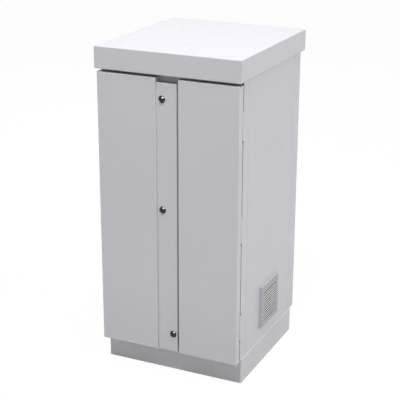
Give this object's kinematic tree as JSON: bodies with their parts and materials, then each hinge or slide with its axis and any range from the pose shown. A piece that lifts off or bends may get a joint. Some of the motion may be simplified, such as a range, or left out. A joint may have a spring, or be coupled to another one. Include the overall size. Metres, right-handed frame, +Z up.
{
  "type": "outdoor battery cabinet",
  "caption": "Light grey outdoor battery cabinet with two doors, a lock strip between them, a deep roof cap, a set-back plinth and a louvred vent on each side.",
  "frame": {"origin": "middle of the footprint under the roof, on the floor", "axes": "+X to the right seen from the front, +Y from the doors to the back, +Z up"},
  "size_m": [0.592, 0.636, 1.262],
  "materials": {
    "paint": "satin",
    "zinc": "satin",
    "lock_metal": "polished",
    "grille_plastic": "matte",
    "filter_fleece": "matte",
    "fan_plastic": "matte",
    "gland_plastic": "matte",
    "seal_rubber": "matte",
    "battery_case": "matte",
    "copper": "satin",
    "breaker_case": "matte",
    "toggle_plastic": "gloss",
    "insulator": "gloss"
  },
  "bodies": {
    "cabinet": {"plinth": "paint", "base_plate": "paint", "gland_plate": "zinc", "cable_glands": "gland_plastic", "front_post_left": "paint", "front_post_right": "paint", "rear_post_left": "paint", "rear_post_right": "paint", "side_panel_left": "paint", "side_panel_right": "paint", "rear_panel": "paint", "header_rail": "paint", "centre_post": "paint", "top_deck": "paint", "roof_bearers": "zinc", "roof_cap": "paint", "hinge_frame_leaves_left": "paint", "hinge_frame_leaves_right": "paint", "hinge_pins_left": "zinc", "hinge_pins_right": "zinc", "lock_strip": "paint", "lock_housings": "lock_metal", "lock_nuts": "zinc", "vent_grille_right": "grille_plastic", "filter_mat_right": "filter_fleece", "fan_housing": "fan_plastic", "vent_grille_left": "grille_plastic", "filter_mat_left": "filter_fleece", "shelf_rails": "zinc", "shelf_lower": "zinc", "shelf_middle": "zinc", "shelf_upper": "zinc", "battery_string_lower": "battery_case", "battery_string_upper": "battery_case", "battery_links": "copper", "equipment_panel": "zinc", "breaker_body": "breaker_case", "bus_bars": "copper", "bus_insulators": "insulator"},
    "left_door": {"door_panel_left": "paint", "door_stiffener_left": "zinc", "door_seal_left": "seal_rubber", "hinge_door_leaves_left": "paint"},
    "right_door": {"door_panel_right": "paint", "door_stiffener_right": "zinc", "door_seal_right": "seal_rubber", "hinge_door_leaves_right": "paint"},
    "upper_lock": {"upper_lock_core": "lock_metal", "upper_lock_cam": "zinc"},
    "middle_lock": {"middle_lock_core": "lock_metal", "middle_lock_cam": "zinc"},
    "lower_lock": {"lower_lock_core": "lock_metal", "lower_lock_cam": "zinc"},
    "fan": {"fan_rotor": "fan_plastic"},
    "breaker_lever": {"breaker_toggle": "toggle_plastic"}
  },
  "joints": [
    {"name": "left_door_swing", "type": "hinge", "parent": "cabinet", "child": "left_door", "pos_m": [-0.282, -0.27975, 0.63275], "axis": [0, 0, -1], "range_deg": [0, 100]},
    {"name": "right_door_swing", "type": "hinge", "parent": "cabinet", "child": "right_door", "pos_m": [0.282, -0.27975, 0.63275], "axis": [0, 0, 1], "range_deg": [0, 100]},
    {"name": "upper_lock_turn", "type": "hinge", "parent": "cabinet", "child": "upper_lock", "pos_m": [-0.022, -0.3075, 1.09], "axis": [0, 1, 0], "range_deg": [0, 90]},
    {"name": "middle_lock_turn", "type": "hinge", "parent": "cabinet", "child": "middle_lock", "pos_m": [-0.022, -0.3075, 0.67], "axis": [0, 1, 0], "range_deg": [0, 90]},
    {"name": "lower_lock_turn", "type": "hinge", "parent": "cabinet", "child": "lower_lock", "pos_m": [0.0185, -0.3075, 0.171], "axis": [0, -1, 0], "range_deg": [0, 90]},
    {"name": "fan_spin", "type": "hinge", "parent": "cabinet", "child": "fan", "pos_m": [0.249, -0.00825, 0.244], "axis": [1, 0, 0], "continuous": true},
    {"name": "breaker_switch", "type": "hinge", "parent": "cabinet", "child": "breaker_lever", "pos_m": [0, -0.0435, 0.95], "axis": [1, 0, 0], "range_deg": [0, 50]}
  ]
}
